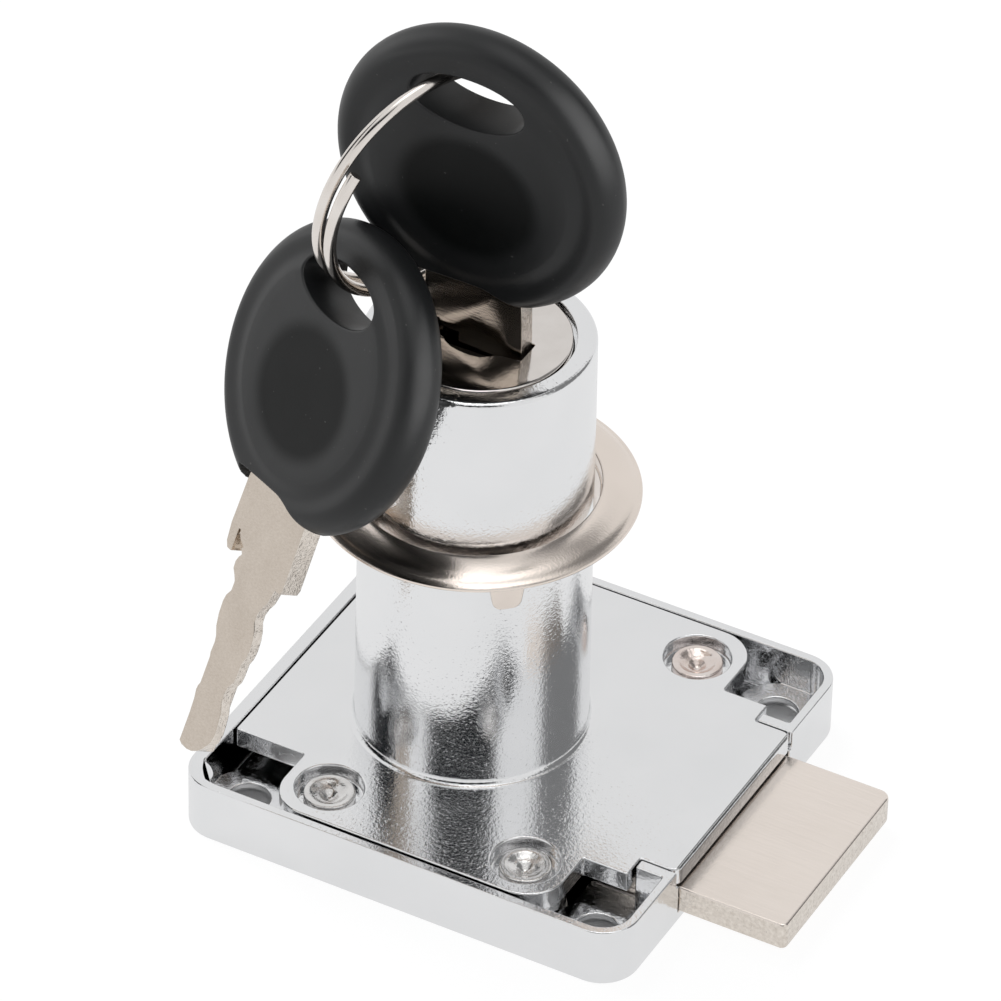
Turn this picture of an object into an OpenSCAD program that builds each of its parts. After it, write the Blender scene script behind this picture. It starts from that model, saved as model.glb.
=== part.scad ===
// Drawer lock: a square die-cast rear tray with a sliding bolt, a cover plate with a long round barrel,
// a keyed cylinder plug, a trim ring on the barrel, and two keys on a split ring.
// The barrel stands along +Z, the bolt is thrown along +X, and the origin is where the barrel's axis
// meets the rear face of the tray. Lengths are in millimetres.

/* [Tray] */
// Length of the tray along the bolt's throw
tray_len = 40.4; // [39:0.2:46]
// Width of the tray across the bolt
tray_wid = 39.2; // [38.4:0.2:44]
// Height of the tray's rim
tray_h = 5.3; // [5.1:0.1:7]
// Distance from the barrel's axis to the tray's face on the bolt side
front_reach = 23.85; // [22.4:0.05:25]
// How far the middle of the tray lies beside the barrel's axis
side_shift = 0.35; // [0:0.05:0.6]
// Thickness of the tray's rim
wall = 0.8; // [0.7:0.05:1.0]
// How much thicker the rim is on the side away from the bolt
wall_extra = 0.4; // [0:0.1:0.6]
// Thickness of the tray's floor
floor_t = 0.8; // [0.6:0.05:1.0]
// Radius of the tray's outer corners
corner_r = 3.2; // [2.5:0.1:4]

/* [Screw holes and studs] */
// Inset of the screw holes from the tray's outer faces
hole_inset = 4.15; // [4:0.05:4.4]
// Radius of the screw holes
hole_r = 1.75; // [1.5:0.05:1.9]
// Radius of the screw head's countersink at the rear face
sink_r = 3.1; // [2.8:0.1:3.2]
// Outer radius of the raised boss round each screw hole
hole_boss_r = 3.6; // [3.5:0.05:3.8]
// Height of that boss above the rear face
hole_boss_h = 1.9; // [1.7:0.1:2.2]
// Inset of the riveted studs from the tray's faces along the throw
stud_inset_x = 11.1; // [10.9:0.1:11.8]
// Inset of the riveted studs from the tray's side faces
stud_inset_y = 5.0; // [4.9:0.05:5.3]
// Radius of a stud's riveted head
stud_head_r = 2.1; // [1.9:0.05:2.2]
// Radius of a stud's shank
stud_r = 1.6; // [1.4:0.05:1.7]
// Radius of the counterbore that a head lies in
stud_sink_r = 2.8; // [2.5:0.05:2.9]

/* [Cover plate] */
// Thickness of the cover plate at its edges
plate_t = 1.9; // [1.7:0.05:2.1]
// Thickness of its tongue over the bolt
tongue_t = 1.65; // [1.4:0.05:1.7]
// Half width of that tongue
tongue_half = 9.8; // [9.7:0.05:10.1]
// Radius of that tongue's outer corners
tongue_corner_r = 0.8; // [0.4:0.1:1.2]
// Gap between the cover plate and the rim
plate_gap = 0.15; // [0.1:0.05:0.25]
// Length of a screw pocket from the tray's outer face
pocket_x = 7.3; // [7.1:0.1:7.4]
// Width of a screw pocket from the tray's outer face
pocket_y = 7.6; // [7.4:0.1:8]
// Radius of the plate's round corner beside a pocket
lobe_r = 3.3; // [2.5:0.1:3.5]
// Length of the rib that stands beside the bolt's opening
rib_len = 3.2; // [2.6:0.1:3.6]
// Thickness of that rib
rib_t = 1.0; // [0.8:0.05:1.1]

/* [Barrel] */
// Height of the barrel's mouth above the tray's rear face
barrel_top = 43.25; // [42.5:0.25:48]
// Radius of the barrel at its foot
barrel_r = 9.5; // [9.4:0.05:9.6]
// How much thinner the barrel is at its mouth
draft = 0.25; // [0:0.05:0.3]
// Radius of the bore that the plug turns in
bore_r = 7.46; // [7.3:0.02:7.6]
// Radius of the edges at the barrel's mouth
mouth_edge_r = 0.45; // [0.3:0.05:0.6]
// Radius of the hollow at the barrel's foot
foot_r = 0.5; // [0.3:0.05:0.7]

/* [Bolt] */
// Width of the bolt
bolt_wid = 18.8; // [17.6:0.1:18.8]
// Thickness of the bolt
bolt_t = 2.5; // [2.2:0.05:2.5]
// Travel of the bolt, which is also how far it stands out when locked
throw = 9.4; // [8:0.1:9.6]
// Radius of the drive pin under the plug
pin_r = 1.3; // [1.1:0.05:1.4]
// Gap between the bolt and what guides it
slide_gap = 0.05; // [0.03:0.01:0.08]
// Radius of the bolt's nose corners
nose_r = 1.2; // [0.5:0.1:1.5]

/* [Plug and wafers] */
// Running clearance of the plug in its bore
plug_gap = 0.06; // [0.03:0.01:0.09]
// Thickness of the face cap
cap_t = 0.95; // [0.8:0.05:1.1]
// Gap round the face cap
cap_gap = 0.3; // [0.25:0.05:0.4]
// Spacing of the wafers
wafer_pitch = 1.9; // [1.8:0.05:1.95]
// Thickness of a wafer
wafer_t = 1.0; // [0.8:0.05:1.0]
// Travel of a wafer when the key leaves
wafer_lift = 0.6; // [0.3:0.05:0.6]
// Half width of a wafer
wafer_half = 2.3; // [2.2:0.05:2.4]

/* [Trim ring] */
// Outer radius of the trim ring
trim_r = 13.15; // [12.6:0.05:14]
// Gap between the trim ring's hole and the barrel's foot radius
trim_gap = 0.45; // [0.4:0.05:0.6]
// Thickness of its sheet
trim_t = 0.5; // [0.4:0.05:0.6]
// Height of its outer edge above the tray's rear face
trim_z = 27.9; // [26.5:0.1:28.3]
// Rise of its crown above its outer edge
trim_crown = 0.75; // [0.5:0.05:0.9]
// Length of its spring tongues below the outer edge
tongue_len = 4.1; // [3:0.1:5]
// Width of a tongue at its root
tongue_w = 3.5; // [2.8:0.1:4]
// Radius of the corners of its tip
tongue_tip_r = 0.8; // [0.6:0.05:1]

/* [Keys] */
// Radius of a key's bow
bow_r = 12.35; // [12:0.05:12.4]
// Thickness of the bow's flat field
bow_t = 4.5; // [4:0.1:4.6]
// Half length of the bow's ring slot
slot_half = 4.95; // [4.9:0.05:5.2]
// Half height of the bow's ring slot
slot_rise = 2.15; // [2.1:0.05:2.4]
// Height of the slot's middle above the bow's middle
slot_z = 7.0; // [6.95:0.05:7.2]
// How far the slot's middle lies beside the blade's middle line
slot_x = -0.25; // [-0.3:0.05:0]
// Half width of a key's blade at its shoulders
shoulder_half = 4.35; // [4.2:0.05:4.4]
// Distance from the bow's middle down to the shoulders
shoulder_z = 17.0; // [16.8:0.1:17.4]
// Distance from the bow's middle down to the tip
tip_z = 32.95; // [32.6:0.05:33.1]
// Thickness of a key's blade
blade_t = 1.8; // [1.6:0.05:1.8]
// Sideways play of the seated key
key_play = -0.15; // [-0.2:0.05:0.2]

/* [Split ring] */
// Radius of the split ring to the middle of its wire
ring_r = 10.3; // [10.2:0.05:10.4]
// Thickness of the ring's wire
wire_t = 1.0; // [0.85:0.05:1.0]
// Spacing of the ring's two turns
turn_pitch = 1.45; // [1.42:0.01:1.5]

/* [Hidden] */
$fn = 64;
// small overrun that makes cuts go clean through
e = 0.01;

// tray, seen in plan
tray_x1 = front_reach;
tray_x0 = tray_x1 - tray_len;
tray_y0 = side_shift - tray_wid / 2;
tray_y1 = side_shift + tray_wid / 2;
in_x0 = tray_x0 + wall + wall_extra;
in_x1 = tray_x1 - wall;
in_y0 = tray_y0 + wall;
in_y1 = tray_y1 - wall;
hole_xs = [tray_x0 + hole_inset + wall_extra, tray_x1 - hole_inset];
hole_ys = [tray_y0 + hole_inset, tray_y1 - hole_inset];
stud_xs = [tray_x0 + stud_inset_x + wall_extra, tray_x1 - stud_inset_x];
stud_ys = [tray_y0 + stud_inset_y, tray_y1 - stud_inset_y];
post_r = stud_head_r + 1.2;
corner_post_r = 2.1;
corner_post_out = 0.4;
// depth of a stud's counterbore, and how far its head lies below the rim
stud_sink_depth = 1.2;
head_drop = 0.4;
stud_gap = 0.1;
// round edge of a head, width of its rim, depth of its dish, and the dimple in the dish's middle
head_edge = 0.15;
head_rim = 0.5;
dish_slope = 0.3;
dish_depth = 0.4;
dimple_r = 0.75;
dimple_depth = 0.55;
// chamfer round a counterbore
sink_edge = 0.25;

// levels
plate_z = tray_h - plate_t;
bolt_z = floor_t + slide_gap;
opening_gap = 0.15;
bolt_half = bolt_wid / 2;
guide_t = 0.9;
guide_x = 8;
// where the relief over the bolt starts
relief_x = 12;
relief_gap = 0.1;

// bolt and its drive
crank_r = throw / 2;
// the pin's path departs from a steady slide by this share of the crank radius, so the slot is wider
yoke_slack = 0.21;
yoke_half_x = pin_r + yoke_slack * crank_r + 0.1;
yoke_half_y = pin_r + crank_r + 0.2;
yoke_web = 3.7;
bolt_x0 = crank_r - yoke_half_x - yoke_web;
bolt_x1 = front_reach + throw;

// plug
plug_r = bore_r - plug_gap;
cap_sink = 0.1;
plug_top = barrel_top - cap_sink - cap_t;
plug_foot = plate_z + 0.15;
journal_h = 4.4;
shank_r = 4.6;
pin_gap = 0.15;
// solid end of the plug below the key's tip, and how far the retainer lies below the tip
tip_room = 6.4;
retainer_drop = 3.4;
key_z = plug_top + shoulder_z;
tip_level = key_z - tip_z;
body_foot = tip_level - tip_room;
core_r = bore_r - 1;
wafer_gap = 0.05;
wafer_top = plug_top - 1.7;
groove_r = plug_r + wafer_lift + 0.35;
groove_half = wafer_half + 0.3;
groove_z0 = tip_level + 1;
groove_z1 = wafer_top + 0.7;
ear_y = wafer_half + 1.9;
spring_r = 0.55;
spring_y = wafer_half + 1;
spring_len = 3.2;
spring_gap = 0.1;
ear_x = 1.0;
retainer_z = tip_level - retainer_drop;
retainer_out = 0.65;
retainer_x = 4;
retainer_seat = 0.9;
retainer_gap = 0.15;
way_x0 = -3.7;
way_x1 = 3.75;
way_half = blade_t / 2 + 0.2;
// room round the blade's shoulders in the face cap, the extra width of its slot on one side, and the bulge
// of that side: place along the slot and height
cap_slot_gap = 0.3;
cap_slot_side = 0.4;
cap_bulge = [[-2.7, 0], [-1.9, 0.5], [-1.2, 0.9], [-0.4, 1.08], [0.6, 1.15],
    [1.4, 1.02], [2.0, 0.55], [2.35, 0.2], [2.8, 0]];
cap_edge = 0.25;

// trim ring: depth of the inner lip, width of the crown, and where the tongues stand
lip_h = 1.4;
crown_w = 1.1;
roll_r = 0.25;
tongue_angles = [-47, 43, 133, 223];

// keys
bow_half = bow_t / 2;
neck_z = 10.0;
neck_half = shoulder_half + 0.3;
tang_half = 3;
tang_top = 3;
// outside this distance from its middle line the blade is half as thick
edge_step = 1.2;
// the bow's rim and the groove inside it
rim_r = 1.5;
groove_in_r = 9;
groove_out_r = 10.2;
groove_depth = 0.4;
// bare oval in each face of the bow
oval_half = 6.3;
oval_rise = 5.7;
oval_z = -1.6;
oval_depth = 0.15;
// the spare key hangs on the ring, so both follow the seated key
key_2_drop = 16.6;
key_2_at = [-7.6, -9.85, key_z - key_2_drop];
key_2_turn = [-25.05, -4.95, -28.9];

// split ring: its place, the angle its wire starts at, how far it winds, and how the turns lie about
// its middle
ring_drop = 2.55;
ring_at = [-4.45, -0.35, key_z - ring_drop];
ring_turn = [0, 80.6, 158.6];
ring_start = 122;
ring_span = 640;
ring_steps = 43;
ring_shift = 0.59;

function arc(cx, cy, r, a0, a1, n = 8) = [for (i = [0:n]) let (a = a0 + (a1 - a0) * i / n)
    [cx + r * cos(a), cy + r * sin(a)]];

module round_box(x0, y0, x1, y1, r, h) {
    linear_extrude(h) union() {
        translate([x0 + r, y0]) square([x1 - x0 - 2 * r, y1 - y0]);
        translate([x0, y0 + r]) square([x1 - x0, y1 - y0 - 2 * r]);
        for (x = [x0 + r, x1 - r], y = [y0 + r, y1 - r]) translate([x, y]) circle(r);
    }
}

// a box whose Y extent lies evenly about the middle of the tray
module mid_box(x0, x1, half, z0, z1) {
    translate([x0, side_shift - half, z0]) cube([x1 - x0, 2 * half, z1 - z0]);
}

module tray() {
    head_top = tray_h - head_drop;
    head_foot = tray_h - stud_sink_depth;
    dish_z = head_top - dish_depth;
    dish_r = stud_head_r - head_rim;
    color("gainsboro") difference() {
        union() {
            difference() {
                round_box(tray_x0, tray_y0, tray_x1, tray_y1, corner_r, tray_h);
                translate([0, 0, floor_t])
                    round_box(in_x0, in_y0, in_x1, in_y1, corner_r - wall, tray_h);
            }
            intersection() {
                round_box(tray_x0, tray_y0, tray_x1, tray_y1, corner_r, tray_h);
                union() {
                    for (x = hole_xs, y = hole_ys) translate([x, y, 0])
                        cylinder(h = hole_boss_h, r = hole_boss_r);
                    for (y = [in_y0, in_y1]) translate([in_x0 - corner_post_out, y, 0])
                        cylinder(h = tray_h, r = corner_post_r);
                    for (x = stud_xs, y = stud_ys) translate([x, y, 0])
                        cylinder(h = plate_z, r = post_r);
                    // ribs beside the opening and guides beside the bolt
                    for (s = [-1, 1]) {
                        y0 = side_shift + s * (tongue_half + plate_gap + rib_t / 2) - rib_t / 2;
                        translate([tray_x1 - rib_len, y0, 0]) cube([rib_len, rib_t, tray_h]);
                        y1 = side_shift + s * (bolt_half + opening_gap + guide_t / 2) - guide_t / 2;
                        translate([-guide_x, y1, 0]) cube([2 * guide_x, guide_t, plate_z]);
                        translate([tray_x1 - rib_len, y1, 0]) cube([rib_len, guide_t, tray_h - tongue_t]);
                    }
                }
            }
            for (x = stud_xs, y = stud_ys) translate([x, y, 0]) rotate_extrude() polygon([
                [0, 0], [stud_r, 0], [stud_r, head_foot], [stud_head_r, head_foot],
                [stud_head_r, head_top - head_edge], [stud_head_r - head_edge, head_top], [dish_r, head_top],
                [dish_r - dish_slope, dish_z], [dimple_r, dish_z], [0, dish_z - dimple_depth]]);
        }
        mid_box(tray_x1 - rib_len - e, tray_x1 + e, bolt_half + opening_gap, floor_t, tray_h + e);
        mid_box(tray_x1 - rib_len - e, tray_x1 + e, tongue_half + plate_gap,
            tray_h - tongue_t - e, tray_h + e);
        for (x = hole_xs, y = hole_ys) translate([x, y, -e]) {
            cylinder(h = hole_boss_h + 2 * e, r = hole_r);
            cylinder(h = sink_r - hole_r, r1 = sink_r, r2 = hole_r);
        }
    }
}

// outline of the cover plate: a rectangle with a round-cornered pocket cut from each corner
module plate_outline() {
    x0 = in_x0 + plate_gap;
    y0 = in_y0 + plate_gap;
    y1 = in_y1 - plate_gap;
    px0 = tray_x0 + pocket_x + wall_extra;
    px1 = tray_x1 - pocket_x;
    py0 = tray_y0 + pocket_y;
    py1 = tray_y1 - pocket_y;
    step_x = tray_x1 - rib_len - plate_gap;
    corner_y = tongue_half - tongue_corner_r;
    union() {
        translate([x0, py0]) square([step_x - x0, py1 - py0]);
        translate([px0, y0 + lobe_r]) square([px1 - px0, y1 - y0 - 2 * lobe_r]);
        translate([px0 + lobe_r, y0]) square([px1 - px0 - 2 * lobe_r, y1 - y0]);
        translate([step_x - e, side_shift - tongue_half])
            square([tray_x1 - tongue_corner_r - step_x + e, 2 * tongue_half]);
        translate([step_x - e, side_shift - corner_y]) square([tray_x1 - step_x + e, 2 * corner_y]);
        for (y = [side_shift - corner_y, side_shift + corner_y])
            translate([tray_x1 - tongue_corner_r, y]) circle(tongue_corner_r);
        for (x = [px0 + lobe_r, px1 - lobe_r], y = [y0 + lobe_r, y1 - lobe_r])
            translate([x, y]) circle(lobe_r);
    }
}

module barrel_plate() {
    top_r = barrel_r - draft;
    mouth_r = plug_r - plug_gap + cap_gap;
    color("gainsboro") difference() {
        union() {
            translate([0, 0, plate_z]) linear_extrude(plate_t) plate_outline();
            rotate_extrude() polygon(concat(
                [[core_r, plate_z], [core_r, barrel_top]],
                arc(top_r - mouth_edge_r, barrel_top - mouth_edge_r, mouth_edge_r, 90, 0),
                arc(barrel_r + foot_r, tray_h + foot_r, foot_r, 180, 270, 5),
                [[barrel_r + foot_r, plate_z]]));
        }
        translate([0, 0, -e]) cylinder(h = barrel_top, r = bore_r);
        translate([0, 0, plug_top]) cylinder(h = barrel_top, r = mouth_r);
        // grooves that the wafers spring into, and the ring groove that holds the plug in
        intersection() {
            translate([0, 0, groove_z0]) cylinder(h = groove_z1 - groove_z0, r = groove_r);
            translate([-barrel_r, -groove_half, 0]) cube([2 * barrel_r, 2 * groove_half, barrel_top]);
        }
        translate([0, 0, retainer_z - wafer_t / 2 - retainer_gap])
            cylinder(h = wafer_t + 2 * retainer_gap, r = plug_r + retainer_out + retainer_gap);
        for (x = stud_xs, y = stud_ys) translate([x, y, 0]) {
            cylinder(h = tray_h, r = stud_r + stud_gap);
            translate([0, 0, tray_h - stud_sink_depth]) cylinder(h = tray_h, r = stud_sink_r);
            translate([0, 0, tray_h - sink_edge])
                cylinder(h = sink_edge + e, r1 = stud_sink_r, r2 = stud_sink_r + sink_edge);
        }
        // relief over the bolt near its opening
        mid_box(relief_x, tray_x1 + e, tongue_half + relief_gap, plate_z - e, tray_h - tongue_t);
    }
}

module bolt() {
    color("antiquewhite") difference() {
        translate([0, 0, bolt_z])
            round_box(bolt_x0, side_shift - bolt_half, bolt_x1, side_shift + bolt_half, nose_r, bolt_t);
        translate([crank_r - yoke_half_x, -yoke_half_y, 0])
            cube([2 * yoke_half_x, 2 * yoke_half_y, tray_h]);
    }
}

module plug() {
    color("darkgray") difference() {
        union() {
            translate([0, 0, body_foot]) cylinder(h = plug_top - body_foot, r = plug_r);
            translate([0, 0, plug_foot]) cylinder(h = body_foot - plug_foot + e, r = shank_r);
            translate([0, 0, plug_foot]) cylinder(h = journal_h, r = plug_r);
            translate([crank_r, 0, floor_t + pin_gap]) cylinder(h = plug_foot - floor_t, r = pin_r);
        }
        translate([way_x0, -way_half, tip_level - 1]) cube([way_x1 - way_x0, 2 * way_half, barrel_top]);
        for (i = [1:7]) wafer_place(i) {
            wafer_slot();
            translate([-ear_x - spring_len, spring_y, 0])
                rotate([0, 90, 0]) cylinder(h = spring_len + e, r = spring_r + spring_gap);
        }
        translate([0, 0, retainer_z]) {
            h = wafer_t + 2 * wafer_gap;
            y = wafer_half + wafer_gap;
            translate([-retainer_x, -y, -h / 2]) cube([barrel_r + retainer_x, 2 * y, h]);
            translate([-retainer_x - spring_len + retainer_seat, 0, 0])
                rotate([0, 90, 0]) cylinder(h = spring_len, r = spring_r + spring_gap);
        }
    }
}

// every second wafer is turned half round
module wafer_place(i) {
    translate([0, 0, wafer_top - (i - 1) * wafer_pitch]) rotate([0, 0, i % 2 == 1 ? 0 : 180]) children();
}

module wafer_slot() {
    h = wafer_t + 2 * wafer_gap;
    y = wafer_half + wafer_gap;
    translate([-barrel_r, -y, -h / 2]) cube([2 * barrel_r, 2 * y, h]);
    translate([-ear_x - wafer_gap, 0, -h / 2])
        cube([2 * ear_x + wafer_lift + 3 * wafer_gap, ear_y + wafer_gap, h]);
}

// a flat disc with an ear for its spring and a window that the blade passes through
module wafer(i) {
    s = i % 2 == 1 ? 1 : -1;
    x0 = s > 0 ? way_x0 - wafer_lift : -way_x1 - wafer_lift;
    x1 = s > 0 ? way_x1 : -way_x0;
    color("goldenrod") wafer_place(i) difference() {
        union() {
            intersection() {
                translate([0, 0, -wafer_t / 2]) cylinder(h = wafer_t, r = plug_r - 0.1);
                translate([-barrel_r, -wafer_half, -barrel_r])
                    cube([2 * barrel_r, 2 * wafer_half, 2 * barrel_r]);
            }
            translate([-ear_x, 0, -wafer_t / 2]) cube([2 * ear_x, ear_y, wafer_t]);
        }
        translate([x0, -way_half, -wafer_t]) cube([x1 - x0, 2 * way_half, 2 * wafer_t]);
    }
}

module wafer_spring(i) {
    color("silver") wafer_place(i) translate([-ear_x - spring_len + spring_gap, spring_y, 0])
        rotate([0, 90, 0]) cylinder(h = spring_len - spring_gap, r = spring_r);
}

module retainer() {
    color("goldenrod") translate([0, 0, retainer_z]) intersection() {
        translate([-retainer_x + spring_gap, -wafer_half, -wafer_t / 2])
            cube([2 * barrel_r, 2 * wafer_half, wafer_t]);
        translate([0, 0, -wafer_t]) cylinder(h = 2 * wafer_t, r = plug_r + retainer_out);
    }
}

module retainer_spring() {
    color("silver") translate([-retainer_x - spring_len + retainer_seat + spring_gap, 0, retainer_z])
        rotate([0, 90, 0]) cylinder(h = spring_len - retainer_seat, r = spring_r);
}

module plug_cap() {
    r = plug_r - plug_gap;
    x = shoulder_half + cap_slot_gap;
    y0 = -way_half - cap_slot_side;
    color("silver") difference() {
        rotate_extrude() polygon(concat([[0, plug_top], [r, plug_top]],
            arc(r - cap_edge, plug_top + cap_t - cap_edge, cap_edge, 0, 90, 5), [[0, plug_top + cap_t]]));
        translate([0, 0, plug_top - e]) linear_extrude(cap_t + 1) polygon(concat(
            [[x, y0], [x, way_half], [-x, way_half], [-x, y0]],
            [for (p = cap_bulge) [p[0], y0 - p[1]]]));
    }
}

// pressed ring: crowned flange, inner lip, and four spring tongues that lie along the barrel
module trim_ring() {
    in_r = barrel_r + trim_gap;
    lip_z = trim_z - lip_h + trim_t;
    crown_r = in_r + crown_w;
    top = trim_z + trim_crown + trim_t;
    fall_r = (crown_r + trim_r) / 2;
    fall_z = top - trim_crown * 0.3;
    color("antiquewhite") union() {
        rotate_extrude() polygon([
            [in_r, lip_z], [in_r, top - roll_r], [in_r + roll_r, top - 0.03], [crown_r, top],
            [fall_r, fall_z],
            [trim_r - 0.1, trim_z + trim_t], [trim_r, trim_z + trim_t / 2], [trim_r - 0.1, trim_z],
            [fall_r, fall_z - trim_t], [crown_r, top - trim_t],
            [in_r + trim_t, top - trim_t - 0.1], [in_r + trim_t, lip_z]]);
        for (a = tongue_angles) rotate([0, 0, a]) intersection() {
            translate([0, 0, trim_z - tongue_len]) difference() {
                cylinder(h = tongue_len, r = in_r + trim_t - 0.1);
                translate([0, 0, -e]) cylinder(h = tongue_len + 1, r = in_r - 0.1);
            }
            rotate([90, 0, 90]) linear_extrude(2 * trim_r) tongue_outline();
        }
    }
}

module tongue_outline() {
    z = trim_z - tongue_len + tongue_tip_r;
    x = tongue_w / 2 - tongue_tip_r - 0.4;
    polygon(concat([[tongue_w / 2, trim_z + 0.1]], arc(x, z, tongue_tip_r, -8, -90),
        arc(-x, z, tongue_tip_r, -90, -172), [[-tongue_w / 2, trim_z + 0.1]]));
}

// outline of a blade in the bow's own frame: shoulders, an ear with a slit on one side, and both cut edges
function blade_points() = [
    [tang_half, -tang_top], [tang_half, -neck_z], [shoulder_half - 0.1, -neck_z],
    [shoulder_half, -shoulder_z + 0.5], [shoulder_half - 0.2, -shoulder_z],
    [3.45, -shoulder_z], [3.3, -17.7], [3.1, -18.4], [2.7, -19.0], [2.45, -19.7], [2.5, -20.3],
    [2.85, -20.9], [3.05, -21.6], [3.12, -22.6], [3.0, -23.3], [2.72, -23.9], [2.7, -25.0],
    [2.6, -25.6], [2.15, -26.3], [2.0, -26.9], [2.1, -27.6], [2.45, -28.4], [2.6, -29.3],
    [2.68, -30.2], [2.5, -31.0], [2.15, -31.5], [1.75, -tip_z + 0.95], [1.3, -tip_z + 0.55],
    [0.6, -tip_z + 0.15], [0, -tip_z], [-0.8, -tip_z], [-1.5, -tip_z + 0.3], [-1.95, -tip_z + 0.8],
    [-2.15, -31.4], [-2.3, -30.6], [-2.35, -29.6], [-2.5, -28.9], [-2.45, -28.5], [-2.2, -28.0],
    [-2.2, -26.1], [-2.4, -25.5], [-2.35, -24.6], [-2.45, -24.1], [-2.85, -23.4], [-3.08, -22.4],
    [-3.13, -21.3], [-3.0, -20.7], [-2.6, -20.1], [-2.6, -19.3], [-2.9, -18.9], [-3.3, -18.5],
    [-3.35, -17.9], [-3.15, -17.4], [-2.75, -shoulder_z], [-2.95, -15.0], [-3.25, -15.0],
    [-3.25, -shoulder_z], [-3.8, -shoulder_z], [-shoulder_half + 0.2, -shoulder_z + 0.5],
    [-shoulder_half, -15], [-shoulder_half + 0.1, -neck_z], [-tang_half, -neck_z], [-tang_half, -tang_top]];

module blade() {
    h = tip_z - shoulder_z + 1;
    difference() {
        translate([0, blade_t / 2, 0]) rotate([90, 0, 0]) linear_extrude(blade_t) polygon(blade_points());
        // half-thick steps down both edges, on opposite faces
        translate([-shoulder_half, -blade_t, -tip_z - 1])
            cube([shoulder_half - edge_step, blade_t, h]);
        translate([edge_step, 0, -tip_z - 1]) cube([shoulder_half, blade_t, h]);
    }
}

// profile of the bow: flat field, soft groove, bead and round rim, turned about the bow's axis
module bow_shape() {
    h = bow_half;
    low = h - groove_depth;
    rotate([90, 0, 0]) difference() {
        rotate_extrude() polygon(concat([[0, -h], [groove_in_r, -h], [groove_out_r, -low]],
            arc(bow_r - rim_r, 0, rim_r, -75, 75, 10), [[groove_out_r, low], [groove_in_r, h], [0, h]]));
        // oval slot for the split ring
        translate([slot_x, slot_z, -bow_t]) linear_extrude(2 * bow_t)
            polygon([for (a = [0:12:348]) [slot_half * cos(a), slot_rise * sin(a)]]);
        // shallow bare oval in each face
        for (s = [-1, 1]) translate([0, oval_z, s * (h - oval_depth) - (s < 0 ? 1 : 0)]) linear_extrude(1)
            polygon([for (a = [0:12:348]) [oval_half * cos(a), oval_rise * sin(a)]]);
        // cut where the blade leaves, and the pocket that holds its tang
        translate([-neck_half, -bow_r - 1, -bow_t]) cube([2 * neck_half, bow_r + 1 - neck_z, 2 * bow_t]);
        translate([-tang_half, -neck_z - e, -blade_t / 2])
            cube([2 * tang_half, neck_z - tang_top + e, blade_t]);
    }
}

module at_key_1() {
    translate([key_play, 0, key_z]) children();
}

module at_key_2() {
    translate(key_2_at) rotate(key_2_turn) children();
}

// six points round the wire, after s degrees of winding; the flats face the next turn
wire_k = wire_t / 2 / cos(30);
function wire_ring(s) = let (d = ring_start - s, z = turn_pitch * (s / 360 - ring_shift)) [for (i = [0:5])
    let (r = ring_r + wire_k * cos(60 * i)) [r * cos(d), r * sin(d), z + wire_k * sin(60 * i)]];
ring_points = [for (j = [0:ring_steps]) each wire_ring(ring_span * j / ring_steps)];
// least distance between points of the wire that lie over half a turn apart along it
ring_gap = min([for (j = [0:ring_steps], k = [j + 13:1:ring_steps], a = [0:5], b = [0:5])
    norm(ring_points[6 * j + a] - ring_points[6 * k + b])]);
echo(least_gap_between_turns = ring_gap);

module key_ring() {
    sides = [for (j = [0:ring_steps - 1], i = [0:5], t = [0, 1]) let (a = 6 * j, k = (i + 1) % 6)
        t == 0 ? [a + i, a + 6 + k, a + k] : [a + i, a + 6 + i, a + 6 + k]];
    last = 6 * ring_steps;
    ends = [for (i = [1:4]) each [[0, i, i + 1], [last, last + i + 1, last + i]]];
    color("lightgray") translate(ring_at) rotate(ring_turn) polyhedron(ring_points, concat(sides, ends));
}

module key_1_blade() {
    color("tan") at_key_1() blade();
}

module key_1_bow() {
    color("#2b2c2e") at_key_1() bow_shape();
}

module key_2_blade() {
    color("tan") at_key_2() blade();
}

module key_2_bow() {
    color("#2b2c2e") at_key_2() bow_shape();
}

tray();
barrel_plate();
bolt();
plug();
plug_cap();
wafer(1);  // wafer_1
wafer(2);  // wafer_2
wafer(3);  // wafer_3
wafer(4);  // wafer_4
wafer(5);  // wafer_5
wafer(6);  // wafer_6
wafer(7);  // wafer_7
wafer_spring(1);  // wafer_spring_1
wafer_spring(2);  // wafer_spring_2
wafer_spring(3);  // wafer_spring_3
wafer_spring(4);  // wafer_spring_4
wafer_spring(5);  // wafer_spring_5
wafer_spring(6);  // wafer_spring_6
wafer_spring(7);  // wafer_spring_7
retainer();
retainer_spring();
trim_ring();
key_ring();
key_1_blade();
key_1_bow();
key_2_blade();
key_2_bow();
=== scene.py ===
import math

import bpy
from mathutils import Euler, Matrix, Vector
from mathutils.geometry import delaunay_2d_cdt


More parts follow.
